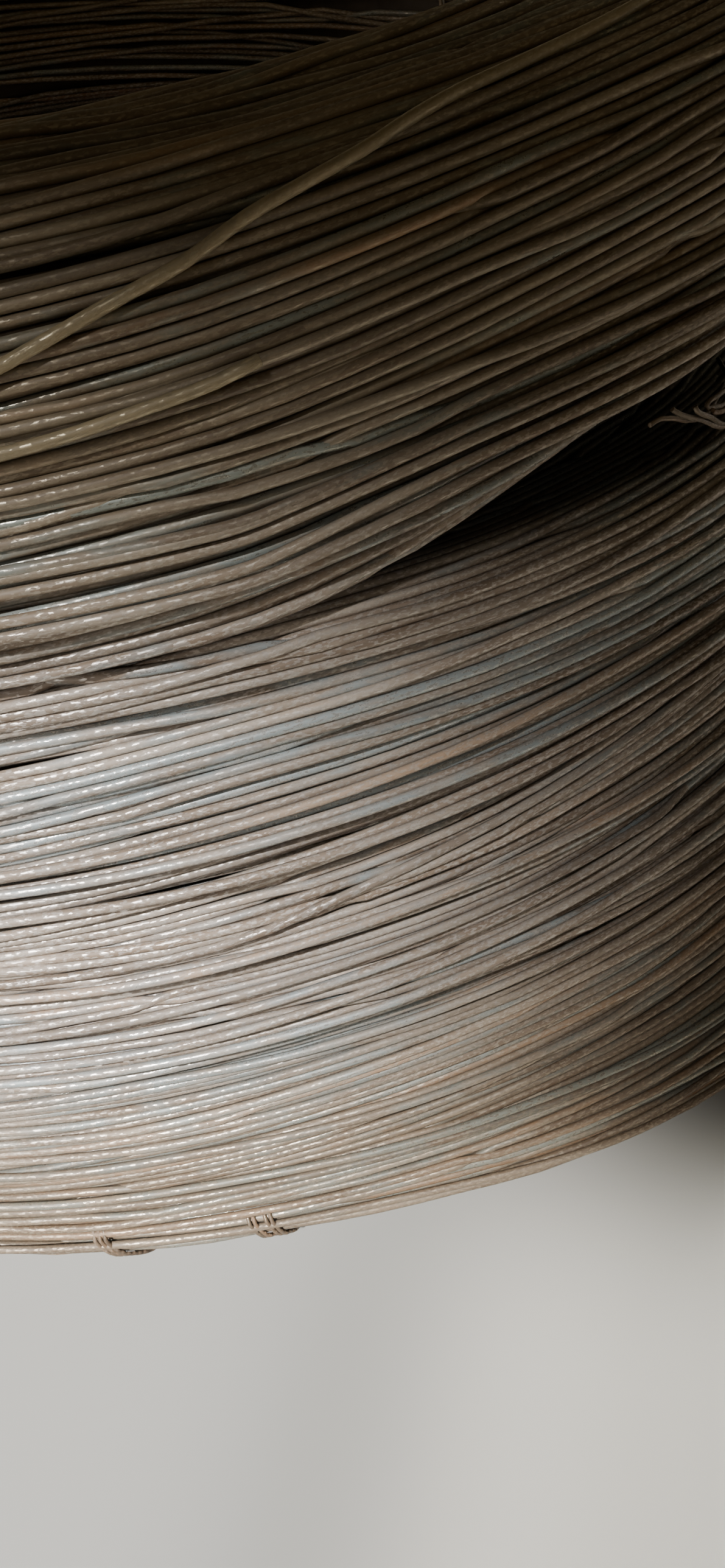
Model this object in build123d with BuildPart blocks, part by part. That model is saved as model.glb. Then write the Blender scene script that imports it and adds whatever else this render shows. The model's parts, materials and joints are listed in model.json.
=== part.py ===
from build123d import *
import math
import os

# ---------------------------------------------------------------- dimensions
# All lengths in millimetres. The coil lies flat, its axis along Z, its base on Z = 0.
wire_d = 1.6            # drawn wire of the turns
outer_r = 187.0         # widest radius, at the belly of the lower bundle
bore_r = 130.0          # radius of the straight bore wall
height = 200.0          # over both bundles

lower_h = 143.5         # the lower bundle of turns ends here, the upper one sits on it
waist_r = 178.5         # bottom of the shallow groove between the two bundles
lower_face_r = 183.0    # face radius just above the belly of the lower bundle
low_corner_r = 15.0     # rounding of the lower bundle's bottom edge
low_corner_c = (170.5, 15.0)   # its centre: radius, height
low_corner_end = -5.0   # angle at which the rounding runs into the belly (degrees)
belly_h = 72.0          # height of the lower bundle's widest part
upper_face_r = 185.0    # face radius of the upper bundle
inner_corner = 9.0      # rounding of the bore's two rims

gap_azimuth = -25.0     # the bundles part here, widest at this azimuth (degrees)
gap_half_span = 149.0   # half the width of the parting, measured across
gap_low = 136.5         # floor of the parting at its widest
gap_high = 167.5        # roof of the parting at its widest
gap_floor_r = 162.0     # how deep the parting goes

strand_d = 0.8          # tie wire, about half the coil's own wire
strand_pitch = 0.75     # strands of one tie lie pressed together
tie_azimuths = [38.0, 128.0, 218.0]
pinch_w = 7.0           # width of the dent that a tight tie makes in the turns
pinch_low = 1.2         # depth of that dent in base, bore and top
pinch_r = 182.2         # where the dent stops on the outer face
pinch_low_corner = 16.0 # rounding of the dent at the bottom edge
pinch_top_corner = 24.0 # and at the top edge
strand_lift = 0.5       # centre of a strand above the dent's floor

lower_tie_azimuths = [-93.8, -84.9, -83.9]   # short tie runs that show at the lower edge
lower_tie_strands = [3, 2, 2]

os.makedirs("parts", exist_ok=True)


def radial_plane(azimuth):
    """Plane through the coil's axis: local x is the radius, local y is height."""
    a = math.radians(azimuth)
    return Plane(
        origin=(0, 0, 0),
        x_dir=(math.cos(a), math.sin(a), 0),
        z_dir=(math.sin(a), -math.cos(a), 0),
    )


def corner_point(angle, radius):
    """Point (radius, height) at an angle round the centre of the bottom edge's rounding."""
    v = math.radians(angle)
    return (low_corner_c[0] + radius * math.cos(v), low_corner_c[1] + radius * math.sin(v))


# ------------------------------------------------------------ dent of one tie
# Ring-shaped cutter: everything outside the pulled-in section, as wide as the dent.
def dent_points():
    return [
        (bore_r + pinch_low, pinch_low),
        (pinch_r, pinch_low),
        (pinch_r, height - pinch_low),
        (bore_r + pinch_low, height - pinch_low),
    ]


with BuildPart() as dent_cutter:
    for azimuth in tie_azimuths:
        with BuildSketch(radial_plane(azimuth)):
            with Locations(((bore_r + outer_r) / 2, height / 2)):
                Rectangle(outer_r - bore_r + 30, height + 30)
            with BuildLine():
                FilletPolyline(
                    *dent_points(),
                    radius=[inner_corner, pinch_low_corner, pinch_top_corner, inner_corner],
                    close=True,
                )
            make_face(mode=Mode.SUBTRACT)
        extrude(amount=pinch_w / 2, both=True)

# ----------------------------------------------- cutter for the bundles' parting
gap_a = math.radians(gap_azimuth)
with BuildPart() as gap_cutter:
    with BuildSketch(
        Plane(
            origin=(0, 0, 0),
            x_dir=(-math.sin(gap_a), math.cos(gap_a), 0),
            z_dir=(math.cos(gap_a), math.sin(gap_a), 0),
        )
    ) as eye:
        with BuildLine():
            # local x runs along the face, local y is height
            ThreePointArc((-gap_half_span, lower_h), (0, gap_low), (gap_half_span, lower_h))
            ThreePointArc((gap_half_span, lower_h), (0, gap_high), (-gap_half_span, lower_h))
        make_face()
    extrude(amount=outer_r + 20)
    Cylinder(
        radius=gap_floor_r,
        height=height,
        align=(Align.CENTER, Align.CENTER, Align.MIN),
        mode=Mode.SUBTRACT,
    )

# ------------------------------------------------------------------- the coil
# One turned solid: base, belly of the lower bundle, waist, upper bundle, top, bore.
with BuildPart() as coil:
    with BuildSketch(Plane.XZ):
        with BuildLine():
            Line((bore_r + inner_corner, 0), (low_corner_c[0], 0))
            ThreePointArc(*[corner_point(v, low_corner_r) for v in (-90, -45, low_corner_end)])
            ThreePointArc(
                corner_point(low_corner_end, low_corner_r),
                (outer_r, belly_h),
                (lower_face_r, lower_h - 15),
            )
            Spline(
                (lower_face_r, lower_h - 15),
                (waist_r, lower_h),
                (upper_face_r - 1.0, lower_h + 12),
                tangents=[(-0.2, 1), (0.25, 1)],
            )
            ThreePointArc(
                (upper_face_r - 1.0, lower_h + 12),
                (upper_face_r, lower_h + 22),
                (upper_face_r - 2.0, height - 21),
            )
            ThreePointArc(
                (upper_face_r - 2.0, height - 21),
                (upper_face_r - 7.5, height - 7.5),
                (upper_face_r - 20.0, height),
            )
            Line((upper_face_r - 20.0, height), (bore_r + inner_corner, height))
            RadiusArc(
                (bore_r + inner_corner, height),
                (bore_r, height - inner_corner),
                -inner_corner,
            )
            Line((bore_r, height - inner_corner), (bore_r, inner_corner))
            RadiusArc((bore_r, inner_corner), (bore_r + inner_corner, 0), -inner_corner)
        make_face()
    revolve(axis=Axis.Z)
    add(gap_cutter.part, mode=Mode.SUBTRACT)
    add(dent_cutter.part, mode=Mode.SUBTRACT)

coil.part.label = "coil"
export_step(coil.part, "parts/coil.step")
print("coil volume", round(coil.part.volume), "valid", coil.part.is_valid, "box", coil.part.bounding_box())


# -------------------------------------------------------------- the full ties
# Three strands side by side round the whole section, their twisted tail laid on the face.
def tie_points():
    o = strand_lift
    return [
        (bore_r + pinch_low - o, pinch_low - o),
        (pinch_r + o, pinch_low - o),
        (pinch_r + o, height - pinch_low + o),
        (bore_r + pinch_low - o, height - pinch_low + o),
    ]


for number, azimuth in enumerate(tie_azimuths, start=1):
    plane = radial_plane(azimuth)
    a = math.radians(azimuth)

    def place(along, radius, z):
        """Point at a distance along the face from the tie, at a radius and a height."""
        return (
            radius * math.cos(a) - along * math.sin(a),
            radius * math.sin(a) + along * math.cos(a),
            z,
        )

    with BuildPart() as tie:
        with BuildLine(plane) as loop:
            FilletPolyline(
                *tie_points(),
                radius=[
                    inner_corner + strand_lift,
                    pinch_low_corner + strand_lift,
                    pinch_top_corner + strand_lift,
                    inner_corner + strand_lift,
                ],
                close=True,
            )
        path = loop.wires()[0]
        across = Vector(-math.sin(a), math.cos(a), 0)
        with BuildSketch(Plane(origin=path @ 0, x_dir=across, z_dir=path % 0)):
            with Locations((-strand_pitch, 0), (0, 0), (strand_pitch, 0)):
                Circle(strand_d / 2)
        sweep(path=path)
        # the two ends twisted into one short curled tail
        with BuildLine() as tail:
            Spline(
                place(0.2, pinch_r + strand_lift, belly_h + 14),
                place(1.6, outer_r - 0.6, belly_h + 11),
                place(4.2, outer_r + 1.5, belly_h + 7),
                place(9.5, outer_r + 2.2, belly_h + 1),
                place(14.5, outer_r + 2.4, belly_h - 0.5),
                place(18.0, outer_r + 2.6, belly_h + 3),
            )
        with BuildSketch(Plane(origin=tail.line @ 0, z_dir=tail.line % 0)):
            Circle(strand_d * 0.7)
        sweep(path=tail.line)
    tie.part.label = f"tie_{number}"
    export_step(tie.part, f"parts/tie_{number}.step")
    print(f"tie_{number}", "solids", len(tie.part.solids()), "volume", round(tie.part.volume, 1), "valid", tie.part.is_valid)

# ------------------------------------------- short tie runs at the lower edge
# Each comes out between two turns, hugs the rounded bottom edge and goes under.
hug_r = low_corner_r + strand_d / 2 + 0.1
for number, (azimuth, strands) in enumerate(zip(lower_tie_azimuths, lower_tie_strands), start=1):
    a = math.radians(azimuth)
    with BuildPart() as run:
        with BuildLine(radial_plane(azimuth)) as hug:
            ThreePointArc(*[corner_point(v, hug_r) for v in (-36, -21, -6)])
        with BuildSketch(
            Plane(origin=hug.line @ 0, x_dir=(-math.sin(a), math.cos(a), 0), z_dir=hug.line % 0)
        ):
            with Locations(*[((k - (strands - 1) / 2) * strand_pitch, 0) for k in range(strands)]):
                Circle(strand_d / 2)
        sweep(path=hug.line)
    run.part.label = f"lower_tie_{number}"
    export_step(run.part, f"parts/lower_tie_{number}.step")
    print(f"lower_tie_{number}", "volume", round(run.part.volume, 2), "valid", run.part.is_valid)

# --------------------------------- end of a tie that sticks out of the parting
def in_gap(azimuth, radius, z):
    """Point at an azimuth, a radius and a height."""
    v = math.radians(azimuth)
    return (radius * math.cos(v), radius * math.sin(v), z)


with BuildPart() as gap_tie:
    with BuildLine() as stem:
        Spline(
            in_gap(-46.0, gap_floor_r + 1.5, lower_h + 0.5),
            in_gap(-49.5, 173.0, lower_h + 2.0),
            in_gap(-53.0, 180.0, lower_h + 4.5),
            in_gap(-56.0, 183.5, lower_h + 7.5),
        )
    with BuildSketch(Plane(origin=stem.line @ 0, z_dir=stem.line % 0)):
        with Locations((-strand_pitch / 2, 0), (strand_pitch / 2, 0)):
            Circle(strand_d / 2)
    sweep(path=stem.line)
gap_tie.part.label = "gap_tie"
export_step(gap_tie.part, "parts/gap_tie.step")
print("gap_tie", "volume", round(gap_tie.part.volume, 2), "valid", gap_tie.part.is_valid)
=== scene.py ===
import json
import math
import bpy
import numpy as np
from mathutils import Matrix, Vector

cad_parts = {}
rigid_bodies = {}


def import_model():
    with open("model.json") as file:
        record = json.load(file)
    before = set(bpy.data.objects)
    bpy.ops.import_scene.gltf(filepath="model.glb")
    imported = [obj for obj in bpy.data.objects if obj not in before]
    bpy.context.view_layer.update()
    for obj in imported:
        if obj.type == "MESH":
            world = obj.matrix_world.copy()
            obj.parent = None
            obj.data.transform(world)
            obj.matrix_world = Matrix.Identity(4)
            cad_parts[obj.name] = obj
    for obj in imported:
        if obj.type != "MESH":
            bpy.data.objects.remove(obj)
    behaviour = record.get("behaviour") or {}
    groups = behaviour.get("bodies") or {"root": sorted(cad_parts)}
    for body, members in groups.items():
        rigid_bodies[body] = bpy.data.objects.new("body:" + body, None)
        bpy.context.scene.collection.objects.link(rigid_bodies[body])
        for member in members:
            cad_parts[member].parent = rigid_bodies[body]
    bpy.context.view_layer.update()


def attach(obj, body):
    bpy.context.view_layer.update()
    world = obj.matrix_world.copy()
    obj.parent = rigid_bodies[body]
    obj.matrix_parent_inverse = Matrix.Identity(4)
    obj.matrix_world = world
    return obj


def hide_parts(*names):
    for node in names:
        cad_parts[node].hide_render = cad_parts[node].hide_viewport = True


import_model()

# ------------------------------------------------------------------ dimensions
# Millimetres, as in the CAD. The coil's axis is Z, its base is Z = 0.
WIRE = 1.6
BORE_R, FACE_R, HEIGHT = 130.0, 187.0, 200.0
SPLIT = 143.5                  # the two bundles meet here
GAP_AZ, GAP_SPAN = -25.0, 149.0
GAP_RISE, GAP_DROP = 24.0, 7.0
GAP_FLOOR_R = 161.0
TIE_AZ = (38.0, 128.0, 218.0)
LOWER_TIES = ((-93.8, 3), (-84.9, 2), (-83.9, 2))
PINCH_R, PINCH = 182.2, 1.2
PINCH_LOW, PINCH_TOP = 16.0, 24.0
STRAND = 0.8

# Azimuth stations: closer together on the photographed side.
PHI = np.radians(np.concatenate([np.arange(-150.0, 0.0, 2.5), np.linspace(0.0, 210.0, 52, endpoint=False)]))
NS = len(PHI)


def ang(a):
    """Angle wrapped to -pi..pi."""
    return (a + math.pi) % (2 * math.pi) - math.pi


def parting(phi):
    """0 where the bundles touch, 1 where they stand furthest apart."""
    d = ang(phi - math.radians(GAP_AZ))
    u = FACE_R * np.sin(d) / GAP_SPAN
    g = np.clip(1 - u * u, 0, 1) ** 1.15
    return np.where(np.abs(d) < math.pi / 2, g, 0.0)


def outside(r):
    """0 inside the parting's floor, 1 in front of it."""
    t = np.clip((r - GAP_FLOOR_R + 3.0) / 6.0, 0, 1)
    return t * t * (3 - 2 * t)


def slump(phi, r, z):
    """How far the lowest turns have slid outwards, front right."""
    d = np.degrees(ang(phi + math.radians(48.0))) / 22.0
    t = np.clip((r - 148.0) / 22.0, 0, 1)
    return 20.5 * np.exp(-d * d) * np.exp(-(np.maximum(z - 4.0, 0) / 40.0) ** 2) * t * t * (3 - 2 * t)


def arc(cx, cy, r, a0, a1, n):
    a = np.radians(np.linspace(a0, a1, n))
    return [(cx + r * np.cos(v), cy + r * np.sin(v)) for v in a]


def line(p, q, n):
    return [(p[0] + (q[0] - p[0]) * t, p[1] + (q[1] - p[1]) * t) for t in np.linspace(0, 1, n)]


def contour(bundle, phi):
    """Closed section of a bundle through the centres of its outermost turns, anticlockwise.

    Returns (stations, points, 2) and the index where its seldom seen part begins.
    """
    g = parting(phi)
    k = np.clip(g * 4.0, 0, 1)
    ri, c3, rf = BORE_R + 0.8, 8.0, GAP_FLOOR_R
    if bundle == "upper":
        zs, z0, z1 = SPLIT + 0.7 + 0 * g, SPLIT + 0.7 + GAP_RISE * g, HEIGHT - 0.9 + 3.0 * g
        ro, c1, c2 = 184.0 + 0 * g, 3.0 + 5.0 * k, 17.0
        pts = (line((rf - 3, zs), (rf + 3, z0), 14) + line((rf + 3, z0), (ro - c1, z0), 12)
               + arc(ro - c1, z0 + c1, c1, -90, 0, 12) + line((ro, z0 + c1), (ro, z1 - c2), 24)
               + arc(ro - c2, z1 - c2, c2, 0, 90, 20) + line((ro - c2, z1), (ri + c3, z1), 20))
        m = len(pts) - 1
        pts += (arc(ri + c3, z1 - c3, c3, 90, 180, 12) + line((ri, z1 - c3), (ri, zs + c3), 20)
                + arc(ri + c3, zs + c3, c3, 180, 270, 12) + line((ri + c3, zs), (rf - 3, zs), 6))
    else:
        zb, zs, z1 = 0.8 + 0 * g, SPLIT - 0.7 + 0 * g, SPLIT - 0.7 - GAP_DROP * g
        ro, c1, c2 = 186.0 + 0 * g, 14.0, 2.5 + 4.5 * k
        pts = (line((ro, 28.0 + 0 * g), (ro, z1 - c2), 50) + arc(ro - c2, z1 - c2, c2, 0, 90, 12)
               + line((ro - c2, z1), (rf + 3, z1), 12) + line((rf + 3, z1), (rf - 3, zs), 8))
        m = len(pts) - 1
        pts += (line((rf - 3, zs), (ri + c3, zs), 6) + arc(ri + c3, zs - c3, c3, 90, 180, 12)
                + line((ri, zs - c3), (ri, zb + c3), 40) + arc(ri + c3, zb + c3, c3, 180, 270, 12)
                + line((ri + c3, zb), (ro - c1, zb), 24) + arc(ro - c1, zb + c1, c1, -90, 0, 20)
                + line((ro, zb + c1), (ro, 28.0 + 0 * g), 8))
    P = np.stack([np.stack([np.broadcast_to(p[0], g.shape), np.broadcast_to(p[1], g.shape)], -1) for p in pts], 1)
    side = np.clip((P[..., 0] - 166) / 14, 0, 1)
    z = P[..., 1]
    if bundle == "upper":
        h = np.clip((z - z0[:, None]) / (z1 - z0)[:, None], 0, 1)
        P[..., 0] += side * 1.5 * (np.sin(math.pi * h) - 0.7)
    else:
        P[..., 0] -= side * np.where(z > 72, 2.6 + 1.8 * k[:, None], 1.4) * ((z - 72) / 60.0) ** 2
        P[..., 0] += slump(phi[:, None], P[..., 0], z)
    return P, m


def at(P, m, s):
    """Points, outward normals at fractions s (stations, wires) of each station's section, and lengths."""
    d = np.linalg.norm(np.diff(P, axis=1), axis=2)
    L = np.concatenate([np.zeros((len(P), 1)), np.cumsum(d, 1)], 1)
    a = float(np.median(L[:, m] / L[:, -1]))
    pos = np.empty(s.shape + (2,))
    nrm = np.empty(s.shape + (2,))
    s = s % 1.0
    for k in range(len(P)):
        keep = np.concatenate([[True], d[k] > 1e-6])
        l, p = L[k][keep], P[k][keep]
        full = l[-1]
        q = np.where(s[k] < a, s[k] / a * L[k, m], L[k, m] + (s[k] - a) / (1 - a) * (full - L[k, m]))
        for c in (0, 1):
            pos[k, :, c] = np.interp(q, l, p[:, c])
        e = 1.5
        t = np.stack([np.interp((q + e) % full, l, p[:, c]) - np.interp((q - e) % full, l, p[:, c]) for c in (0, 1)], -1)
        t /= np.linalg.norm(t, axis=1, keepdims=True) + 1e-9
        nrm[k] = np.stack([t[:, 1], -t[:, 0]], -1)
    return pos, nrm, L[:, -1]


def wander(rng, n, amp, lo, hi):
    """Smooth periodic curves of the azimuth, one for each wire."""
    out = np.zeros((NS, n))
    for m in range(lo, hi + 1):
        a = rng.normal(0, amp / m, n)
        b = rng.normal(0, amp / m, n)
        out += np.cos(m * PHI)[:, None] * a + np.sin(m * PHI)[:, None] * b
    return out


def pinch_clamp(P):
    """Pull the turns inside the section that a tight tie leaves, near each tie."""
    w = np.zeros(NS)
    for a in TIE_AZ:
        d = ang(PHI - math.radians(a)) * FACE_R
        w = np.maximum(w, np.exp(-(d / 17.0) ** 2))
    cr, hr = (BORE_R + PINCH + PINCH_R) / 2, (PINCH_R - BORE_R - PINCH) / 2
    cz, hz = HEIGHT / 2, HEIGHT / 2 - PINCH
    x, z = P[..., 0] - cr, P[..., 1] - cz
    c = np.where(x > 0, np.where(z > 0, PINCH_TOP, PINCH_LOW), 9.0)
    qx, qz = np.abs(x) - (hr - c), np.abs(z) - (hz - c)
    sd = np.hypot(np.maximum(qx, 0), np.maximum(qz, 0)) + np.minimum(np.maximum(qx, qz), 0) - c + WIRE / 2
    gx = np.where(qx > 0, np.where(qz > 0, qx, 1.0), np.where(qz > 0, 0.0, np.where(qx > qz, 1.0, 0.0)))
    gz = np.where(qz > 0, np.where(qx > 0, qz, 1.0), np.where(qx > 0, 0.0, np.where(qx > qz, 0.0, 1.0)))
    l = np.hypot(gx, gz) + 1e-9
    push = np.clip(sd, 0, None) * w[:, None]
    P[..., 0] -= push * gx / l * np.sign(x)
    P[..., 1] -= push * gz / l * np.sign(z)


def lay(bundle, seed, pitch, rounds=150):
    """Lay the turns of a bundle: two layers, wandering, then pushed apart where they would meet."""
    rng = np.random.default_rng(seed)
    C, m = contour(bundle, PHI)
    length = float(np.median(at(C, m, np.zeros((NS, 1)))[2]))
    n1 = n2 = int(length / pitch)
    s = np.concatenate([(np.arange(n1) + 0.5) / n1, (np.arange(n2) + 1.0) / n2 % 1.0])
    layer = np.concatenate([np.zeros(n1, int), np.ones(n2, int)])
    order = np.argsort(s, kind="stable")
    s, layer = s[order], layer[order]
    n = len(s)
    # Shared drift makes the turns bunch and part; each turn also has its own.
    drift = np.zeros((NS, n))
    for _ in range(16):
        k, f, a = rng.integers(1, 5), rng.integers(length / 70, length / 14), rng.normal(0, 0.58)
        drift += a * np.cos(k * PHI[:, None] * rng.choice([-1, 1]) + 2 * math.pi * f * s[None, :] + rng.uniform(0, 6.28))
    own = wander(rng, n, 1.9, 1, 5)
    rider = (rng.random(n) < 0.07) & (layer == 0)
    own[:, rider] *= 1.6
    lean = 7.0 * np.sin(PHI + math.radians(78.0))[:, None]
    depth = np.where(layer == 0, 0.0, -0.70)[None, :] + wander(rng, n, 0.20, 1, 5)
    depth[:, rider] += 0.9
    home, nrm, _ = at(C, m, s[None, :] + (drift + own + lean) / length)
    uneven = wander(rng, 1, 1.1, 2, 5)
    home += nrm * (depth + uneven * 0.6)[..., None]
    P = home.copy()
    tang = np.stack([-nrm[..., 1], nrm[..., 0]], -1)
    g = parting(PHI)[:, None]
    for it in range(rounds):
        push = np.zeros_like(P)
        for k in range(1, 13):
            d = np.roll(P, -k, 1) - P
            r = np.sqrt((d ** 2).sum(-1)) + 1e-6
            o = np.clip(WIRE * 1.01 - r, 0, None) / r * 0.42
            v = d * o[..., None]
            push -= v
            push += np.roll(v, k, 1)
        P += push
        e = home - P
        en = (e * nrm).sum(-1, keepdims=True)
        et = (e * tang).sum(-1, keepdims=True)
        soft = 1.0 if it < rounds * 0.6 else 0.35
        P += soft * (0.07 * en * nrm + 0.02 * et * tang)
        w = 0.12 if it < rounds * 0.75 else 0.05
        P += w * (np.roll(P, 1, 0) + np.roll(P, -1, 0) - 2 * P) / 2
        pinch_clamp(P)
        P[..., 1] = np.maximum(P[..., 1], WIRE / 2)
        if bundle == "lower":
            P[..., 1] = np.minimum(P[..., 1], SPLIT - 0.4 - GAP_DROP * g * outside(P[..., 0]))
        else:
            P[..., 1] = np.maximum(P[..., 1], SPLIT + 0.4 + GAP_RISE * g * outside(P[..., 0]))
    return P, s, layer, rider, C, m


# ------------------------------------------------------------------ mesh tools
def grid_mesh(name, rings, close_u, close_v, uv, tone, mat):
    """One mesh from many quad grids. rings: list of (U, V, 3) arrays in mm."""
    verts, quads, uvs, cols, ends, end_uv = [], [], [], [], [], []
    base = 0
    for r, t, col in zip(rings, uv, tone):
        U, V = r.shape[:2]
        verts.append(r.reshape(-1, 3))
        i = np.arange(U if close_u else U - 1)
        j = np.arange(V if close_v else V - 1)
        I, J = np.meshgrid(i, j, indexing="ij")
        a, b = I * V + J, I * V + (J + 1) % V
        c, d = ((I + 1) % U) * V + (J + 1) % V, ((I + 1) % U) * V + J
        quads.append(np.stack([a, d, c, b], -1).reshape(-1, 4) + base)
        u, v = t
        q = np.stack([np.stack([u[I], J / V], -1), np.stack([u[I + 1], J / V], -1),
                      np.stack([u[I + 1], (J + 1) / V], -1), np.stack([u[I], (J + 1) / V], -1)], 2)
        q[..., 1] = q[..., 1] * 1.0 + v
        uvs.append(q.reshape(-1, 2))
        cols.append(np.broadcast_to(np.asarray(col, float), (U * V, 4)))
        if close_v and not close_u:
            ends += [base + np.arange(V), base + (U - 1) * V + np.arange(V)[::-1]]
            end_uv += [np.tile([[u[0], v]], (V, 1)), np.tile([[u[U - 1], v]], (V, 1))]
        base += U * V
    verts, quads = np.concatenate(verts), np.concatenate(quads)
    start = np.arange(0, len(quads) * 4, 4, dtype=np.int32)
    loops = quads.astype(np.int32).ravel()
    if ends:
        start = np.concatenate([start, len(loops) + np.arange(len(ends)) * len(ends[0])]).astype(np.int32)
        loops = np.concatenate([loops] + ends).astype(np.int32)
        uvs += end_uv
    me = bpy.data.meshes.new(name)
    me.vertices.add(len(verts))
    me.vertices.foreach_set("co", (verts / 1000.0).astype(np.float32).ravel())
    me.loops.add(len(loops))
    me.loops.foreach_set("vertex_index", loops)
    me.polygons.add(len(start))
    me.polygons.foreach_set("loop_start", start)
    me.polygons.foreach_set("use_smooth", np.ones(len(start), bool))
    layer = me.uv_layers.new(name="wire")
    me.update(calc_edges=True)
    layer.data.foreach_set("uv", np.concatenate(uvs).astype(np.float32).ravel())
    ca = me.color_attributes.new("tone", "FLOAT_COLOR", "POINT")
    ca.data.foreach_set("color", np.concatenate(cols).astype(np.float32).ravel())
    me.materials.append(mat)
    me.validate()
    ob = bpy.data.objects.new(name, me)
    bpy.context.collection.objects.link(ob)
    return ob


def tube(path, radius, sides, closed, flat_end=True):
    """Round tube along a path of points (N, 3): (N, sides, 3). Open tubes get closed ends."""
    if closed:
        t = np.roll(path, -1, 0) - np.roll(path, 1, 0)
    else:
        t = np.gradient(path, axis=0)
    t /= np.linalg.norm(t, axis=1, keepdims=True)
    if closed:
        e = np.stack([path[:, 0], path[:, 1], 0 * path[:, 0]], -1)
        e /= np.linalg.norm(e, axis=1, keepdims=True)
        b = np.cross(t, e)
        b /= np.linalg.norm(b, axis=1, keepdims=True)
        n = np.cross(b, t)
    else:
        n = np.empty_like(path)
        ref = np.array([0.0, 0.0, 1.0]) if abs(t[0][2]) < 0.9 else np.array([1.0, 0.0, 0.0])
        n[0] = np.cross(np.cross(t[0], ref), t[0])
        n[0] /= np.linalg.norm(n[0])
        for i in range(1, len(path)):
            v = n[i - 1] - t[i] * np.dot(n[i - 1], t[i])
            n[i] = v / np.linalg.norm(v)
        b = np.cross(t, n)
    th = np.linspace(0, 2 * math.pi, sides, endpoint=False)
    rad = np.broadcast_to(radius, (len(path),))[:, None, None]
    ring = path[:, None, :] + rad * (np.cos(th)[None, :, None] * n[:, None, :] + np.sin(th)[None, :, None] * b[:, None, :])
    if not closed and flat_end:
        ends = []
        for i, sgn in ((0, -1), (-1, 1)):
            c = path[i] + sgn * t[i] * float(rad[i, 0, 0]) * 0.12
            lip = path[i] + (ring[i] - path[i]) * 0.82 + sgn * t[i] * float(rad[i, 0, 0]) * 0.12
            tip = np.repeat((c)[None, :], sides, 0) + (ring[i] - path[i]) * 0.5
            ends.append((lip, tip))
        ring = np.concatenate([ends[0][1][None], ends[0][0][None], ring, ends[1][0][None], ends[1][1][None]])
    return ring


def cyl(phi, rz):
    """Points from azimuth and (radius, height)."""
    return np.stack([rz[..., 0] * np.cos(phi), rz[..., 0] * np.sin(phi), rz[..., 1]], -1)


# ------------------------------------------------------------------- materials
def material(name):
    m = bpy.data.materials.new(name)
    m.use_nodes = True
    nt = m.node_tree
    for n in list(nt.nodes):
        nt.nodes.remove(n)
    out = nt.nodes.new("ShaderNodeOutputMaterial")
    sh = nt.nodes.new("ShaderNodeBsdfPrincipled")
    nt.links.new(sh.outputs[0], out.inputs[0])
    return m, nt, sh


def node(nt, kind, **kw):
    n = nt.nodes.new(kind)
    for k, v in kw.items():
        if k.startswith("in_"):
            n.inputs[int(k[3:])].default_value = v
        else:
            setattr(n, k, v)
    return n


def math_node(nt, op, a, b=None, clamp=False):
    n = nt.nodes.new("ShaderNodeMath")
    n.operation = op
    n.use_clamp = clamp
    for i, v in enumerate((a, b)):
        if v is None:
            continue
        if isinstance(v, (int, float)):
            n.inputs[i].default_value = v
        else:
            nt.links.new(v, n.inputs[i])
    return n.outputs[0]


def mix_col(nt, fac, a, b, blend="MIX"):
    n = nt.nodes.new("ShaderNodeMix")
    n.data_type = "RGBA"
    n.blend_type = blend
    for idx, v in ((0, fac), (6, a), (7, b)):
        if isinstance(v, (int, float)):
            n.inputs[idx].default_value = v
        elif isinstance(v, tuple):
            n.inputs[idx].default_value = v + (1.0,)
        else:
            nt.links.new(v, n.inputs[idx])
    return n.outputs[2]


def ramp(nt, fac, stops):
    n = nt.nodes.new("ShaderNodeValToRGB")
    el = n.color_ramp.elements
    while len(el) < len(stops):
        el.new(0.5)
    for e, (p, c) in zip(el, stops):
        e.position = p
        e.color = (c, c, c, 1.0) if isinstance(c, (int, float)) else c + (1.0,)
    nt.links.new(fac, n.inputs[0])
    return n.outputs[0]


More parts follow.
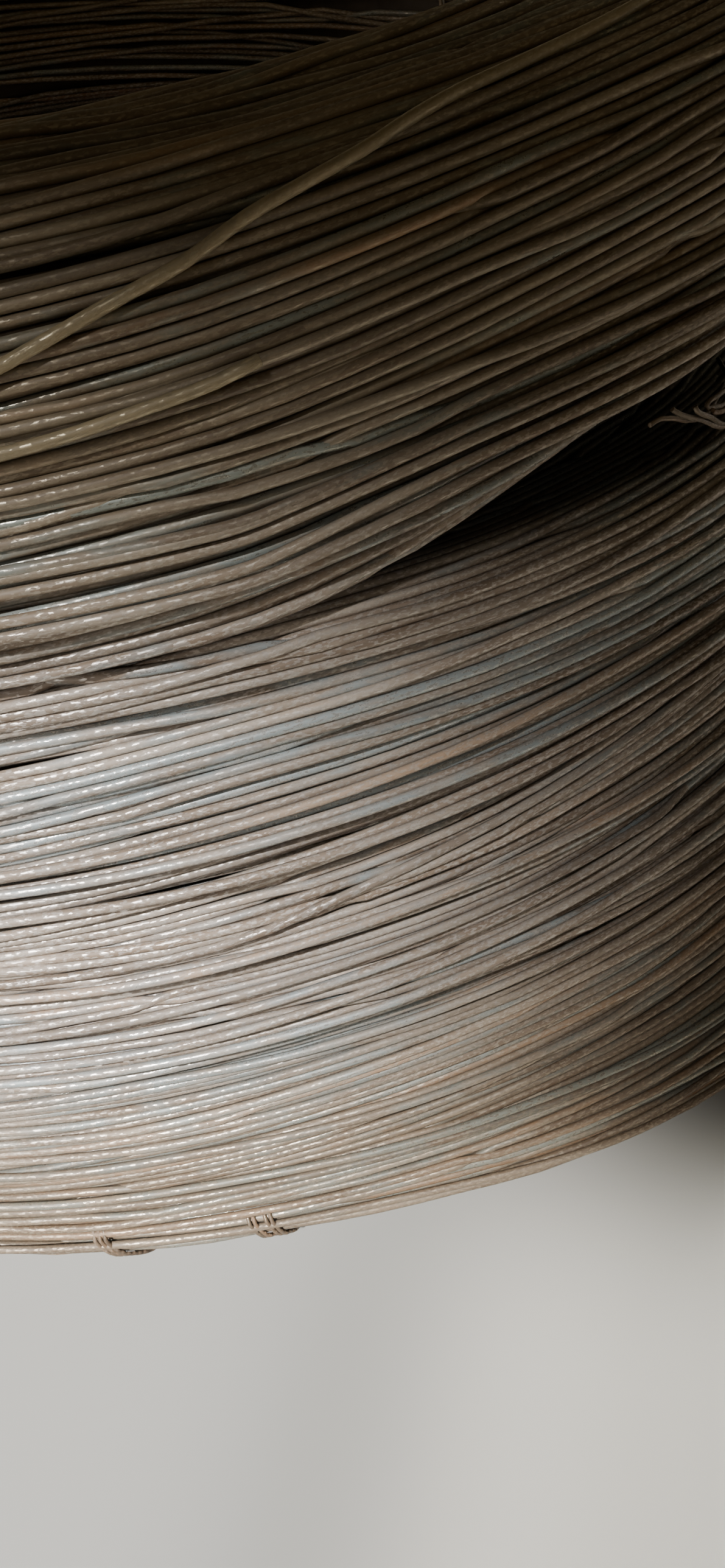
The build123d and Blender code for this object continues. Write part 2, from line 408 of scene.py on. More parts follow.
def wire_material(name, rust, taupe, scale, pale, orange, rough=0.5, paint_shade=True):
    m, nt, sh = material(name)
    uv = node(nt, "ShaderNodeUVMap", uv_map="wire")
    sep = nt.nodes.new("ShaderNodeSeparateXYZ")
    nt.links.new(uv.outputs[0], sep.inputs[0])
    att = node(nt, "ShaderNodeAttribute", attribute_name="tone")
    ts = nt.nodes.new("ShaderNodeSeparateColor")
    nt.links.new(att.outputs[0], ts.inputs[0])
    tone, blue, red = ts.outputs[0], ts.outputs[1], ts.outputs[2]

    def noise(sx, sy, detail=3.0, rough_=0.55, off=0.0):
        c = nt.nodes.new("ShaderNodeCombineXYZ")
        nt.links.new(math_node(nt, "MULTIPLY", sep.outputs[0], sx), c.inputs[0])
        # the way round the wire is a circle, so the pattern closes on itself
        a = math_node(nt, "MULTIPLY", sep.outputs[1], 2 * math.pi)
        nt.links.new(math_node(nt, "MULTIPLY", math_node(nt, "COSINE", a), sy), c.inputs[1])
        nt.links.new(math_node(nt, "MULTIPLY", math_node(nt, "SINE", a), sy), c.inputs[2])
        n = node(nt, "ShaderNodeTexNoise", noise_dimensions="4D")
        n.inputs["Scale"].default_value = 1.0
        n.inputs["Detail"].default_value = detail
        n.inputs["Roughness"].default_value = rough_
        nt.links.new(c.outputs[0], n.inputs["Vector"])
        w = math_node(nt, "ADD", math_node(nt, "MULTIPLY", tone, 37.0), off)
        nt.links.new(w, n.inputs["W"])
        return n.outputs[0]

    # u is in millimetres along the wire
    patch = noise(0.035, 0.30, 3.0, 0.55, 1.0)      # long patches of rust and scale
    streak = noise(0.12, 0.45, 2.0, 0.5, 5.0)       # shorter ones
    fleck = noise(0.95, 2.30, 2.5, 0.55, 9.0)       # broken scale, about a wire's width long
    grain = noise(2.4, 2.0, 3.0, 0.65, 13.0)        # fine pitting

    # wide regions that neighbouring turns share, and painted shade on the upper bundle: darker, warmer, with less
    # scale and fainter pale flecks
    place = nt.nodes.new("ShaderNodeTexCoord")
    squeeze = node(nt, "ShaderNodeMapping")
    squeeze.inputs["Scale"].default_value = (9.0, 9.0, 26.0)
    nt.links.new(place.outputs["Object"], squeeze.inputs[0])
    wide = node(nt, "ShaderNodeTexNoise")
    wide.inputs["Scale"].default_value = 1.0
    wide.inputs["Detail"].default_value = 1.5
    nt.links.new(squeeze.outputs[0], wide.inputs["Vector"])
    region = math_node(nt, "SUBTRACT", wide.outputs[0], 0.5)
    high = nt.nodes.new("ShaderNodeSeparateXYZ")
    nt.links.new(place.outputs["Object"], high.inputs[0])
    # upper: mask of the painted shade on the upper bundle
    upper = math_node(nt, "MULTIPLY", math_node(nt, "SUBTRACT", high.outputs[2], 0.1435), 30.0, clamp=True)
    upper = math_node(nt, "MULTIPLY", upper, 1.0 if paint_shade else 0.0)
    # painted shade: darker and browner towards the base
    base_shade = math_node(nt, "MULTIPLY", math_node(nt, "SUBTRACT", 0.0760, high.outputs[2]), 22.0, clamp=True)
    base_shade = math_node(nt, "MULTIPLY", base_shade, 1.0 if paint_shade else 0.0)
    # painted shade deep in the parting between the bundles
    flat = nt.nodes.new("ShaderNodeVectorMath")
    flat.operation = "MULTIPLY"
    flat.inputs[1].default_value = (1.0, 1.0, 0.0)
    nt.links.new(place.outputs["Object"], flat.inputs[0])
    rad = nt.nodes.new("ShaderNodeVectorMath")
    rad.operation = "LENGTH"
    nt.links.new(flat.outputs[0], rad.inputs[0])
    rad = rad.outputs["Value"]
    parting_shade = math_node(nt, "MULTIPLY", math_node(nt, "SUBTRACT", 0.1797, rad), 165.0, clamp=True)
    parting_shade = math_node(nt, "MULTIPLY", parting_shade, math_node(nt, "MULTIPLY", math_node(nt, "SUBTRACT", rad, 0.150), 200.0, clamp=True))
    off = math_node(nt, "ABSOLUTE", math_node(nt, "SUBTRACT", high.outputs[2], 0.1490))
    parting_shade = math_node(nt, "MULTIPLY", parting_shade, math_node(nt, "MULTIPLY", math_node(nt, "SUBTRACT", 0.0220, off), 120.0, clamp=True))

    body = mix_col(nt, ramp(nt, patch, [(0.36, 0.0), (0.64, 1.0)]), rust, taupe)
    amount = math_node(nt, "ADD", math_node(nt, "MULTIPLY", blue, 0.62),
                       math_node(nt, "MULTIPLY", streak, 0.85))
    amount = math_node(nt, "ADD", amount, math_node(nt, "MULTIPLY", region, 0.9))
    # less scale on the upper bundle, part of its painted shade
    amount = math_node(nt, "SUBTRACT", amount, math_node(nt, "MULTIPLY", upper, 0.16))
    scale_mask = ramp(nt, amount, [(0.68, 0.0), (0.90, 1.0)])
    body = mix_col(nt, math_node(nt, "MULTIPLY", scale_mask, 0.8), body, scale)
    rusty = ramp(nt, math_node(nt, "ADD", math_node(nt, "MULTIPLY", red, 0.5), math_node(nt, "MULTIPLY", patch, 0.8)),
                 [(0.66, 0.0), (0.92, 1.0)])
    body = mix_col(nt, math_node(nt, "MULTIPLY", rusty, 0.55), body, orange)
    chips = math_node(nt, "MULTIPLY", ramp(nt, fleck, [(0.50, 0.0), (0.56, 1.0)]),
                      math_node(nt, "ADD", 0.85, math_node(nt, "MULTIPLY", scale_mask, -0.10)))
    # pale flecks fainter on the upper bundle, part of its painted shade
    fade = math_node(nt, "SUBTRACT", 0.46, math_node(nt, "MULTIPLY", upper, 0.22))
    body = mix_col(nt, math_node(nt, "MULTIPLY", chips, fade), body, pale)
    shade = math_node(nt, "ADD", 0.72, math_node(nt, "MULTIPLY", tone, 0.5))
    # painted shade: the upper bundle darker
    shade = math_node(nt, "MULTIPLY", shade, math_node(nt, "SUBTRACT", 1.0, math_node(nt, "MULTIPLY", upper, 0.19)))
    # painted shade: darker deep in the parting
    shade = math_node(nt, "MULTIPLY", shade, math_node(nt, "SUBTRACT", 1.0, math_node(nt, "MULTIPLY", parting_shade, 0.82)))
    # painted shade: darker near the base
    shade = math_node(nt, "MULTIPLY", shade, math_node(nt, "SUBTRACT", 1.0, math_node(nt, "MULTIPLY", base_shade, 0.40)))
    grainy = math_node(nt, "ADD", 0.82, math_node(nt, "MULTIPLY", grain, 0.36))
    # painted shade: the upper bundle warmer
    body = mix_col(nt, upper, body, (0.98, 0.93, 0.75), "MULTIPLY")
    # painted shade: browner near the base
    body = mix_col(nt, base_shade, body, (1.0, 0.90, 0.74), "MULTIPLY")
    hsv = nt.nodes.new("ShaderNodeHueSaturation")
    nt.links.new(body, hsv.inputs["Color"])
    nt.links.new(math_node(nt, "MULTIPLY", shade, grainy), hsv.inputs["Value"])
    nt.links.new(hsv.outputs[0], sh.inputs["Base Color"])
    r = math_node(nt, "SUBTRACT", rough + 0.0, math_node(nt, "MULTIPLY", chips, 0.27))
    r = math_node(nt, "SUBTRACT", r, math_node(nt, "MULTIPLY", scale_mask, 0.12))
    r = math_node(nt, "ADD", r, math_node(nt, "MULTIPLY", grain, 0.16))
    nt.links.new(r, sh.inputs["Roughness"])
    nt.links.new(math_node(nt, "ADD", math_node(nt, "MULTIPLY", chips, 0.62), math_node(nt, "MULTIPLY", scale_mask, 0.14)), sh.inputs["Metallic"])
    bump = nt.nodes.new("ShaderNodeBump")
    bump.inputs["Strength"].default_value = 0.5
    bump.inputs["Distance"].default_value = 0.00005
    h = math_node(nt, "ADD", math_node(nt, "MULTIPLY", chips, 0.3), math_node(nt, "MULTIPLY", grain, 0.8))
    nt.links.new(h, bump.inputs["Height"])
    nt.links.new(bump.outputs[0], sh.inputs["Normal"])
    return m


WIRE_MAT = wire_material("coil_wire", (0.170, 0.122, 0.085), (0.315, 0.262, 0.212), (0.265, 0.310, 0.318),
                         (0.82, 0.76, 0.70), (0.40, 0.215, 0.100))
LOOSE_MAT = wire_material("loose_wire", (0.215, 0.165, 0.090), (0.300, 0.235, 0.135), (0.29, 0.25, 0.17),
                          (0.42, 0.36, 0.25), (0.34, 0.24, 0.12), paint_shade=False)
TIE_MAT = wire_material("tie_wire", (0.22, 0.150, 0.095), (0.42, 0.335, 0.240), (0.36, 0.36, 0.33),
                        (0.60, 0.56, 0.50), (0.45, 0.24, 0.11), rough=0.5, paint_shade=False)

# a darker copy of the tie wire: painted shade on the ties low on the face and in the parting
SHADED_TIE_MAT = wire_material("shaded_tie_wire", (0.090, 0.058, 0.036), (0.175, 0.120, 0.076), (0.14, 0.105, 0.07),
                             (0.29, 0.22, 0.15), (0.25, 0.13, 0.06), rough=0.55, paint_shade=False)


def core_material():
    m, nt, sh = material("inner_turns")
    co = nt.nodes.new("ShaderNodeTexCoord")
    n = node(nt, "ShaderNodeTexNoise")
    n.inputs["Scale"].default_value = 260.0
    n.inputs["Detail"].default_value = 4.0
    nt.links.new(co.outputs["Object"], n.inputs["Vector"])
    # darker than the wire: painted shade on the turns further in
    c = mix_col(nt, n.outputs[0], (0.075, 0.056, 0.041), (0.150, 0.115, 0.087))
    nt.links.new(c, sh.inputs["Base Color"])
    sh.inputs["Roughness"].default_value = 0.8
    b = nt.nodes.new("ShaderNodeBump")
    b.inputs["Strength"].default_value = 0.4
    b.inputs["Distance"].default_value = 0.0002
    nt.links.new(n.outputs[0], b.inputs["Height"])
    nt.links.new(b.outputs[0], sh.inputs["Normal"])
    return m


SHADED_CORE_MAT = core_material()

# ------------------------------------------------------------------- the turns
COIL_PIECES = []


def tones(r, n):
    t = np.clip(r.normal(0.5, 0.22, n), 0, 1)
    b = np.clip(r.normal(0.42, 0.26, n), 0, 1)
    o = np.clip(r.normal(0.30, 0.24, n), 0, 1)
    return np.stack([t, b, o, np.ones(n)], -1)


def add_turns(name, P, idx, sides, step, seed):
    r = np.random.default_rng(seed)
    st = np.arange(0, NS, step)
    rings, uv = [], []
    col = tones(r, len(idx))
    for w in idx:
        path = cyl(PHI[st], P[st, w])
        ring = tube(path, WIRE / 2, sides, True)
        seg = np.linalg.norm(np.roll(path, -1, 0) - path, axis=1)
        u = np.concatenate([[0], np.cumsum(seg)]) + r.uniform(0, 4000)
        rings.append(ring)
        uv.append((u, r.uniform(0, 1)))
    ob = grid_mesh(name, rings, True, True, uv, col, WIRE_MAT)
    COIL_PIECES.append(ob)
    return ob


def core(name, C, m):
    """Ring that stands for the turns further in, painted dark as shade."""
    st = np.arange(0, NS, 2)
    n = 200 if name.startswith("lower") else 120
    s = np.broadcast_to(((np.arange(n) + 0.5) / n)[None, :], (len(st), n))
    pos, nrm, L = at(C[st], m, s)
    q = pos - nrm * 4.0
    q[..., 1] = np.maximum(q[..., 1], 1.0)
    ring = cyl(PHI[st][:, None], q)
    u = np.arange(len(st) + 1) * 1.0
    ob = grid_mesh(name, [ring], True, True, [(u, 0.0)], [(0.5, 0.5, 0.5, 1)], SHADED_CORE_MAT)
    COIL_PIECES.append(ob)


def deep(name, C, m, seed):
    """A third layer, seen only at the bottom of the gaps."""
    r = np.random.default_rng(seed)
    length = float(np.median(at(C, m, np.zeros((NS, 1)))[2]))
    n = int(length / 1.66)
    s = np.broadcast_to(((np.arange(n) + 0.5) / n)[None, :], (NS, n)) + wander(r, n, 0.7, 2, 6) / length
    pos, nrm, _ = at(C, m, s)
    q = pos - nrm * 2.35
    q[..., 1] = np.maximum(q[..., 1], 1.2)
    mid = np.median(q, axis=0)
    idx = np.where((mid[:, 0] > 160) | ((mid[:, 1] > 180) & name.startswith("upper")))[0]
    add_turns(name, q, idx, 5, 2, seed + 1)


# ---------------------------------------------- wires that lie on the others
def envelope(P, k, pos, nrm, reach):
    """How high over the section a wire must be at station k to clear the turns there."""
    t = np.array([-nrm[1], nrm[0]])
    d = P[k] - pos
    dn, dt = d @ nrm, d @ t
    ok = (np.abs(dt) < reach) & (np.abs(dn) < 4.0)
    if not ok.any():
        return -1.0
    return float((dn[ok] + np.sqrt(reach ** 2 - dt[ok] ** 2)).max())


def nearest(C, m, k, r, z):
    """Fraction along the section at station k that comes nearest to a radius and a height."""
    s = np.linspace(0, 1, 900, endpoint=False)[None, :]
    p, _, _ = at(C[k:k + 1], m, s)
    return float(s[0, np.argmin((p[0, :, 0] - r) ** 2 + (p[0, :, 1] - z) ** 2)])


def station(az):
    return int(np.argmin(np.abs(ang(PHI - math.radians(az)))))


def smooth(v, n):
    for _ in range(n):
        v = np.concatenate([[v[0]], 0.25 * v[:-2] + 0.5 * v[1:-1] + 0.25 * v[2:], [v[-1]]])
    return v


def over(bundle, az0, az1, track, dive0=True, dive1=True, lift=0.0):
    """Open wire that comes up between the turns, lies over them and goes under again.

    track gives the fraction along the section for an azimuth.
    """
    P, C, m = LAID[bundle]
    ks = [k for k in range(NS) if az0 <= math.degrees(ang(PHI[k])) <= az1]
    s = np.array([track(math.degrees(ang(PHI[k]))) for k in ks])
    pos = np.empty((len(ks), 2))
    nrm = np.empty((len(ks), 2))
    h = np.empty(len(ks))
    for i, k in enumerate(ks):
        p, n, _ = at(C[k:k + 1], m, np.array([[s[i]]]))
        pos[i], nrm[i] = p[0, 0], n[0, 0]
        h[i] = envelope(P, k, pos[i], nrm[i], WIRE * 1.02)
    h = np.maximum(np.maximum(h, np.concatenate([h[1:], h[-1:]])), np.concatenate([h[:1], h[:-1]]))
    h = smooth(h, 3) + lift
    ramp_ = np.array([-3.4, -2.2, -0.6, 0.6])
    if dive0:
        h[:4] = np.minimum(h[:4], ramp_ + 0.3)
    if dive1:
        h[-4:] = np.minimum(h[-4:], ramp_[::-1] + 0.3)
    rz = pos + nrm * h[:, None]
    phi = PHI[ks]
    fine = np.linspace(0, len(ks) - 1, (len(ks) - 1) * 3 + 1)
    rz = np.stack([cubic(rz[:, c], fine) for c in (0, 1)], -1)
    phi = np.interp(fine, np.arange(len(ks)), np.unwrap(phi))
    return cyl(phi, rz)


def cubic(v, x):
    """Catmull-Rom values of v at positions x."""
    n = len(v)
    i = np.clip(np.floor(x).astype(int), 0, n - 2)
    f = x - i
    p0, p1, p2, p3 = v[np.maximum(i - 1, 0)], v[i], v[i + 1], v[np.minimum(i + 2, n - 1)]
    return 0.5 * (2 * p1 + (p2 - p0) * f + (2 * p0 - 5 * p1 + 4 * p2 - p3) * f ** 2 + (3 * p1 - p0 - 3 * p2 + p3) * f ** 3)


def add_strands(name, paths, radius, sides, mat, seed, col=None):
    r = np.random.default_rng(seed)
    rings, uv, cols = [], [], []
    for i, p in enumerate(paths):
        ring = tube(np.asarray(p, float), radius, sides, False)
        mid = ring.mean(1)
        seg = np.linalg.norm(np.diff(mid, axis=0), axis=1)
        u = np.concatenate([[0], np.cumsum(seg), [0]]) + r.uniform(0, 4000)
        rings.append(ring)
        uv.append((u, r.uniform(0, 1)))
        cols.append(tones(r, 1)[0] if col is None else np.array(col[i] if isinstance(col, list) else col, float))
    return grid_mesh(name, rings, False, True, uv, cols, mat)


def track_of(bundle, pts):
    """Track through points (azimuth, radius, height), for over()."""
    P, C, m = LAID[bundle]
    a = np.array([p[0] for p in pts])
    s = np.unwrap([nearest(C, m, station(p[0]), p[1], p[2]) for p in pts], period=1.0)
    return lambda az: float(np.interp(az, a, s))


LAID = {}
for bundle, seed in (("upper", 11), ("lower", 23)):
    P, s, layer, rider, C, m = lay(bundle, seed, 1.68)
    LAID[bundle] = (P, C, m)
    mid = np.median(P, axis=0)
    outer = (mid[:, 0] > 163) | ((mid[:, 1] > 185) & (bundle == "upper"))
    front = np.where((layer == 0) & outer)[0]
    second = np.where((layer == 1) & outer)[0]
    rest = np.where((layer == 0) & ~outer)[0]
    half = (len(front) + 1) // 2
    add_turns(bundle + "_turns_a", P, front[:half], 8, 1, seed + 1)
    add_turns(bundle + "_turns_b", P, front[half:], 8, 1, seed + 2)
    half = (len(second) + 1) // 2
    add_turns(bundle + "_turns_second_a", P, second[:half], 6, 1, seed + 3)
    add_turns(bundle + "_turns_second_b", P, second[half:], 6, 1, seed + 5)
    add_turns(bundle + "_turns_bore", P, rest, 6, 2, seed + 4)
    deep(bundle + "_turns_third", C, m, seed + 7)
    core(bundle + "_inner_turns", C, m)

# The loose wire that crosses the upper bundle, and the short end below it.
crossing = over("upper", -112.0, -12.0, track_of("upper", [
    (-112, 185, 168), (-100, 184, 177), (-92, 183, 182), (-84.6, 181.6, 185.5), (-81.4, 180.6, 187.9), (-74.7, 177.7, 192.9),
    (-69.8, 175.4, 195.6), (-65.7, 172.6, 197.4), (-59.4, 170.2, 198.9), (-46.6, 165, 199.5), (-30, 157, 200), (-12, 150, 201)]))
stub = over("upper", -100.0, -75.0, track_of("upper", [
    (-104, 184.2, 172.6), (-95, 183.8, 175.5), (-85.5, 183.4, 177.3), (-82.1, 183.4, 178.4), (-78.3, 183.0, 180.4), (-75.0, 182.8, 182.1)]),
    dive1=False)[:-1]
COIL_PIECES.append(add_strands("crossing_wire", [crossing], WIRE / 2, 12, LOOSE_MAT, 5, (0.75, 0.15, 0.35, 1.0)))
COIL_PIECES.append(add_strands("wire_end", [stub], WIRE / 2, 12, LOOSE_MAT, 6, (0.45, 0.2, 0.3, 1.0)))

# More turns that cross their neighbours at a small angle.
rng = np.random.default_rng(404)
paths = []
for bundle, number in (("upper", 5), ("lower", 13)):
    P, C, m = LAID[bundle]
    for _ in range(number):
        az0 = rng.uniform(-150, -126)
        az1 = rng.uniform(-52, 20)
        z0 = rng.uniform(152, 186) if bundle == "upper" else rng.uniform(14, 136)
        rise = rng.uniform(-7, 7)
        lo, hi = (150, 192) if bundle == "upper" else (8, 138)
        z1 = min(max(z0 + rise, lo), hi)
        paths.append(over(bundle, az0, az1, track_of(bundle, [(az0, 184, z0), (az1, 184, z1)])))
COIL_PIECES.append(add_strands("crossing_turns", paths, WIRE / 2, 8, WIRE_MAT, 7))

for ob in COIL_PIECES:
    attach(ob, "root")
    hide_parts("coil")


# ------------------------------------------------------------------------ ties
def helix(path, radius, pitch, turns_phase, grow=None):
    """Path wound round another path."""
    path = np.asarray(path, float)
    t = np.gradient(path, axis=0)
    t /= np.linalg.norm(t, axis=1, keepdims=True)
    n = np.empty_like(path)
    ref = np.array([0.1, 0.2, 1.0])
    n[0] = np.cross(np.cross(t[0], ref), t[0])
    n[0] /= np.linalg.norm(n[0])
    for i in range(1, len(path)):
        v = n[i - 1] - t[i] * np.dot(n[i - 1], t[i])
        n[i] = v / np.linalg.norm(v)
    b = np.cross(t, n)
    L = np.concatenate([[0], np.cumsum(np.linalg.norm(np.diff(path, axis=0), axis=1))])
    a = 2 * math.pi * L / pitch + turns_phase
    rad = np.full(len(path), radius) if grow is None else radius * grow(L / L[-1])
    return path + (np.cos(a) * rad)[:, None] * n + (np.sin(a) * rad)[:, None] * b


def spline(pts, n):
    pts = np.asarray(pts, float)
    x = np.linspace(0, len(pts) - 1, n)
    return np.stack([cubic(pts[:, c], x) for c in range(3)], -1)


def rounded_section(offset, n=150):
    """Closed path round the whole section: (radius, height) points, evenly spaced."""
    x0, x1 = BORE_R + PINCH - offset, PINCH_R + offset
    z0, z1 = PINCH - offset, HEIGHT - PINCH + offset
    ci, cl, ct = 9.0 + offset, PINCH_LOW + offset, PINCH_TOP + offset
    p = (line((x1, 90.0), (x1, z1 - ct), 30) + arc(x1 - ct, z1 - ct, ct, 0, 90, 24) + line((x1 - ct, z1), (x0 + ci, z1), 12)
         + arc(x0 + ci, z1 - ci, ci, 90, 180, 12) + line((x0, z1 - ci), (x0, z0 + ci), 40)
         + arc(x0 + ci, z0 + ci, ci, 180, 270, 12) + line((x0 + ci, z0), (x1 - cl, z0), 12)
         + arc(x1 - cl, z0 + cl, cl, -90, 0, 20) + line((x1, z0 + cl), (x1, 90.0), 20))
    p = np.array(p, float)
    keep = np.concatenate([[True], np.linalg.norm(np.diff(p, axis=0), axis=1) > 1e-6])
    p = p[keep]
    L = np.concatenate([[0], np.cumsum(np.linalg.norm(np.diff(p, axis=0), axis=1))])
    x = np.linspace(0, L[-1], n)
    return np.stack([np.interp(x, L, p[:, c]) for c in (0, 1)], -1), x


def full_tie(number, az, seed):
    r = np.random.default_rng(seed)
    a = math.radians(az)
    er, ea = np.array([math.cos(a), math.sin(a), 0]), np.array([-math.sin(a), math.cos(a), 0])
    rz, L = rounded_section(0.45, 190)
    paths = []
    for i in (-1, 0, 1):
        side = i * 0.84 + 0.16 * np.sin(L / r.uniform(14, 26) + r.uniform(0, 6)) + 0.10 * np.sin(L / 6.5 + r.uniform(0, 6))
        lift = 0.08 * np.sin(L / 9.0 + r.uniform(0, 6)) + (0.12 if i == 0 else 0.0)
        p = (rz[:, :1] + lift[:, None] * np.sign(rz[:, :1] - 155)) * er + side[:, None] * ea
        p[:, 2] = rz[:, 1]
        paths.append(p)
    # the two ends twisted together, then sprung apart
    def at_(along, radius, z):
        return radius * er + along * ea + np.array([0, 0, z])
    twist = spline([at_(0.0, PINCH_R + 1.2, 90), at_(0.8, PINCH_R + 2.6, 86), at_(3.4, FACE_R + 1.3, 81), at_(8.0, FACE_R + 1.5, 76),
                    at_(12.0, FACE_R + 1.4, 73)], 90)
    one = helix(twist, 0.42, 3.4, 0.0)
    two = helix(twist, 0.42, 3.4, math.pi)
    one = np.concatenate([one, spline([one[-1], at_(14.5, FACE_R + 1.6, 70.5), at_(17.0, FACE_R + 2.0, 71.0), at_(18.2, FACE_R + 2.3, 73.5)], 16)[1:]])
    two = np.concatenate([two, spline([two[-1], at_(13.4, FACE_R + 1.5, 70.0), at_(13.2, FACE_R + 1.7, 66.5), at_(11.0, FACE_R + 1.9, 64.5)], 16)[1:]])
    ob = add_strands("wire_tie_%d" % number, paths + [one, two], STRAND / 2, 10, TIE_MAT, seed)
    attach(ob, "root")
    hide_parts("tie_%d" % number)


for number, az in enumerate(TIE_AZ, start=1):
    full_tie(number, az, 900 + number)


def short_tie(number, az, strands, lean, first, seed):
    """Strands that come out between two turns low on the face, cross a few turns and go under."""
    r = np.random.default_rng(seed)
    P, C, m = LAID["lower"]
    paths = []
    for i in range(strands):
        k = station(az)
        v = np.radians(np.linspace(16, -64, 60))
        s = np.array([nearest(C, m, k, 171.5 + 20 * math.cos(x), 14.5 + 20 * math.sin(x)) for x in v])
        p, n, _ = at(C[k:k + 1], m, s[None, :])
        p, n = p[0], n[0]
        f = np.linspace(0, 1, 60)
        a = math.radians(az) + (((i - (strands - 1) / 2) * 1.02) + lean * (f - 0.15) + 0.8 * (f - 0.5) ** 2) / 186.0
        h = np.empty(60)
        for j, x in enumerate(np.interp(a, PHI, np.arange(NS))):
            k0, t = int(x), x - int(x)
            near = P[k0] * (1 - t) + P[k0 + 1] * t
            h[j] = envelope(near[None], 0, p[j], n[j], (WIRE + STRAND) / 2)
        h = np.maximum.reduce([np.roll(h, j) for j in range(-5, 6)])
        h = smooth(h, 14)
        e = np.clip((np.arange(60) - first) / 7.0, 0, 1) * np.clip((53 - np.arange(60)) / 10.0, 0, 1)
        h = h * e - 3.4 * (1 - e)
        rz = p + n * h[:, None]
        paths.append(np.stack([rz[:, 0] * np.cos(a), rz[:, 0] * np.sin(a), rz[:, 1]], -1))
    # the low tie strands use the tie wire painted darker as shade
    ob = add_strands("low_tie_strands_%d" % number, paths, STRAND / 2, 10, SHADED_TIE_MAT, seed)
    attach(ob, "root")
    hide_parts("lower_tie_%d" % number)


for number, (az, strands) in enumerate(LOWER_TIES, start=1):
    short_tie(number, az, strands, (11.5, 8.0, 7.5)[number - 1], (1, 3, 3)[number - 1], 950 + number)


def pol(az, r, z):
    v = math.radians(az)
    return (r * math.cos(v), r * math.sin(v), z)


ends = [
    spline([pol(-43.5, 167, 143.5), pol(-46.5, 174.5, 142.6), pol(-50.3, 180, 143.1), pol(-53.8, 183, 149.4), pol(-55.5, 183.8, 152.5),
            pol(-56.1, 183.5, 154.0)], 60),
    spline([pol(-43.0, 168, 142.3), pol(-46, 175, 141.9), pol(-49.8, 179.5, 142.7), pol(-53.1, 183, 149.0), pol(-54.5, 184.2, 151.8),
            pol(-54.7, 184, 152.9)], 60),
    spline([pol(-42.5, 168, 146.0), pol(-46, 174, 146.2), pol(-49.9, 179, 146.4), pol(-51.8, 181, 148.4), pol(-52.9, 182.1, 149.9),
            pol(-52.9, 182.2, 150.9), pol(-51.6, 181.2, 150.2), pol(-48.6, 178, 148.2), pol(-44, 172, 147.5)], 90),
    spline([pol(-43, 169, 145.2), pol(-46.5, 175, 145.4), pol(-50.2, 179.8, 146.0), pol(-52.0, 181.6, 147.9), pol(-52.7, 182.6, 149.4)], 50),
    spline([pol(-46, 172, 143), pol(-50.5, 177, 144.5), pol(-52.8, 178.5, 146.8), pol(-54.3, 179.3, 149.2), pol(-55.6, 180, 150.9),
            pol(-56.5, 180.5, 151.2)], 50),
]
# the tie end in the parting uses the tie wire painted darker as shade
ob = add_strands("parting_tie_end", ends, STRAND / 2, 10, SHADED_TIE_MAT, 990)
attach(ob, "root")
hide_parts("gap_tie")

# ----------------------------------------------------------------- studio
bpy.ops.mesh.primitive_plane_add(size=6.0, location=(0, 0, 0))
floor = bpy.context.object
floor.name = "floor"
fm, nt, sh = material("floor")
sh.inputs["Base Color"].default_value = (0.31, 0.30, 0.275, 1)
sh.inputs["Roughness"].default_value = 0.85
floor.data.materials.append(fm)

world = bpy.data.worlds.new("studio")
world.use_nodes = True
world.node_tree.nodes["Background"].inputs[0].default_value = (0.96, 0.80, 0.50, 1)
# softer from above than from the sides
wt = world.node_tree
sky = wt.nodes.new("ShaderNodeTexCoord")
way = wt.nodes.new("ShaderNodeSeparateXYZ")
wt.links.new(sky.outputs["Generated"], way.inputs[0])
fade = math_node(wt, "SUBTRACT", 1.0, math_node(wt, "MULTIPLY", way.outputs[2], 0.85, clamp=True))
wt.links.new(math_node(wt, "MULTIPLY", fade, 0.170), wt.nodes["Background"].inputs[1])
bpy.context.scene.world = world


def area(name, loc, target, size, power, color=(1, 1, 1)):
    d = bpy.data.lights.new(name, "AREA")
    d.shape = "RECTANGLE"
    d.size, d.size_y = size
    d.energy = power
    d.color = color
    o = bpy.data.objects.new(name, d)
    o.location = loc
    o.rotation_euler = (Vector(target) - Vector(loc)).to_track_quat("-Z", "Y").to_euler()
    bpy.context.collection.objects.link(o)
    return o


def beam(name, az, el, top, right, soft, size, power, color):
    """Softbox whose beam ends above and to the right of a point low on the coil's face, over a soft edge."""
    a_, e_ = math.radians(az), math.radians(el)
    to = Vector((math.cos(a_) * math.cos(e_), math.sin(a_) * math.cos(e_), math.sin(e_)))
    up = (Vector((0, 0, 1)) - to * to.z).normalized()
    aim = Vector((-0.073, -0.172, 0.070)) + up * (top - size[1] / 2) + up.cross(to) * (right - size[0] / 2)
    lamp = area(name, aim + to * 2.0, aim, size, power, color)
    lamp.data.spread = 2 * math.atan(soft / 2.0)


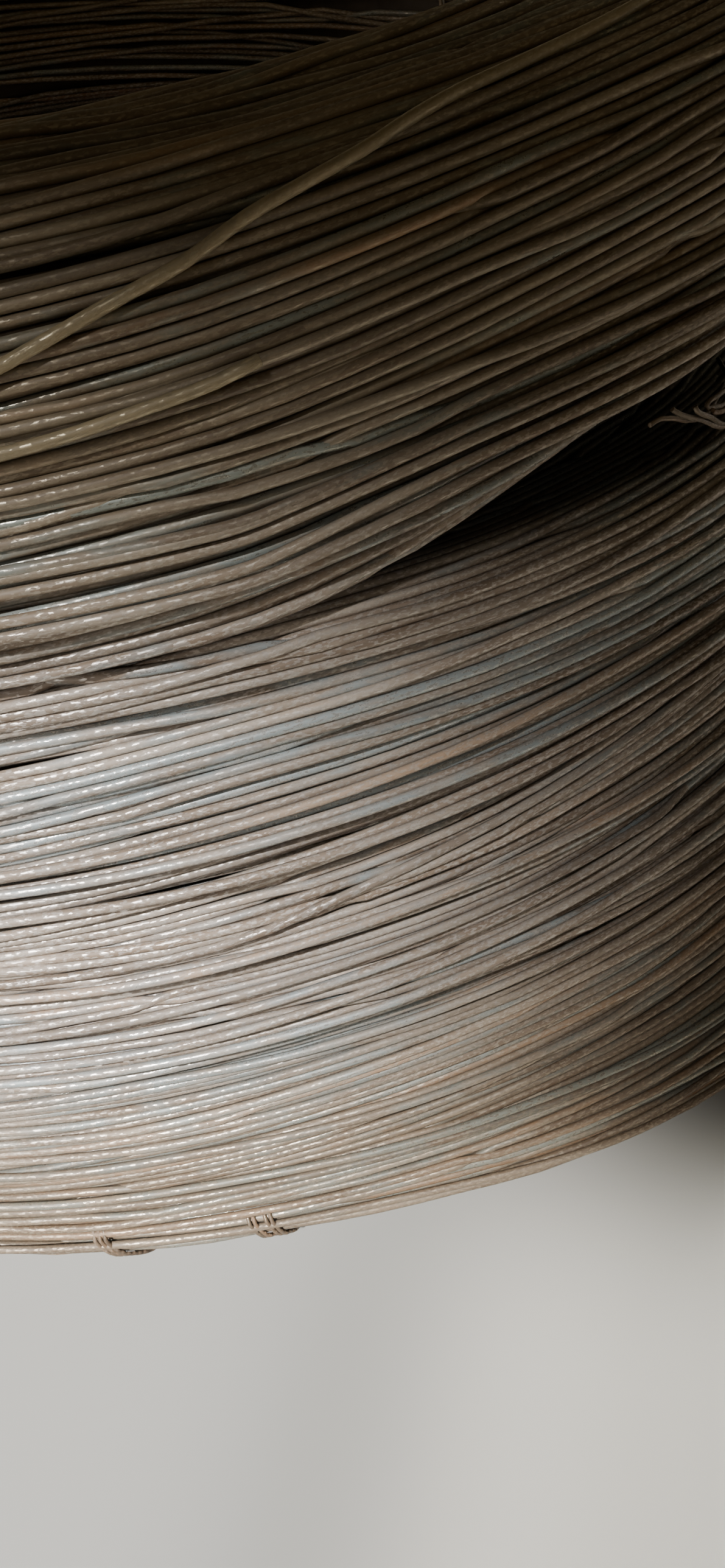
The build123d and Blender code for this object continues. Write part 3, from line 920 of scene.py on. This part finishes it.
beam("key", -109, 52, 0.058, 0.126, 0.061, (3.00, 1.80), 57.5, (0.98, 0.99, 1.0))
beam("fill", -112, 24, 0.078, 0.113, 0.080, (1.40, 0.80), 1.9, (0.98, 0.97, 0.95))
beam("floor_front", -109, 52, -0.012, 0.368, 0.030, (0.24, 0.14), 0.40, (1.0, 0.98, 0.94))
beam("back", 60, 50, -0.115, 1.50, 0.060, (3.00, 2.20), 21.0, (1.0, 0.96, 0.90))
beam("right", 25, 30, 0.60, 2.42, 0.050, (2.40, 1.20), 8.5, (1.0, 0.96, 0.90))
area("left", (-1.05, 0.35, 0.30), (0.0, 0.0, 0.08), (0.7, 0.5), 5.0, (1.0, 0.96, 0.90))
# straight down on the floor well away from the coil, so that the floor stays pale all round
for number, (xa, xb, ya, yb) in enumerate([(-0.30, 3.0, -3.0, -0.78), (0.78, 3.0, -0.78, 3.0), (-3.0, -0.30, -3.0, -1.7),
                                           (-3.0, -1.7, -1.7, 3.0), (-1.7, 0.78, 1.7, 3.0)], start=1):
    cx, cy = (xa + xb) / 2, (ya + yb) / 2
    wash = area("floor_%d" % number, (cx, cy + 0.001, 3.0), (cx, cy, 0.0), (xb - xa, yb - ya), 1.8 * (xb - xa) * (yb - ya),
                (1.0, 0.97, 0.92))
    wash.rotation_euler = (0.0, 0.0, 0.0)
    wash.data.spread = 2 * math.atan(0.30 / 3.0)

# ------------------------------------------------------------------ the camera
cam = bpy.data.cameras.new("photo_view")
cam.sensor_fit = "AUTO"
cam.sensor_width = 36.0
cam.lens = 36.0 * 2144.0 / 2576.0
cam.clip_start = 0.01
cam.clip_end = 50.0
co = bpy.data.objects.new("photo_view", cam)
bpy.context.collection.objects.link(co)
p, r = math.radians(40.5), math.radians(-8.4)
F = Vector((0, math.cos(p), -math.sin(p)))
u0 = Vector((0, math.sin(p), math.cos(p)))
x0 = Vector((1, 0, 0))
X = math.cos(r) * x0 + math.sin(r) * u0
U = -math.sin(r) * x0 + math.cos(r) * u0
M = Matrix((X, U, -F)).transposed().to_4x4()
M.translation = Vector((0.0503, -0.3257, 0.2405))
co.matrix_world = M
bpy.context.scene.camera = co

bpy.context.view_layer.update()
tri = 0
for ob in bpy.data.objects:
    if ob.type == "MESH" and len(ob.data.polygons) > 50:
        print(ob.name, len(ob.data.polygons) * 2)
        tri += len(ob.data.polygons) * 2
print("faces x 2", tri)
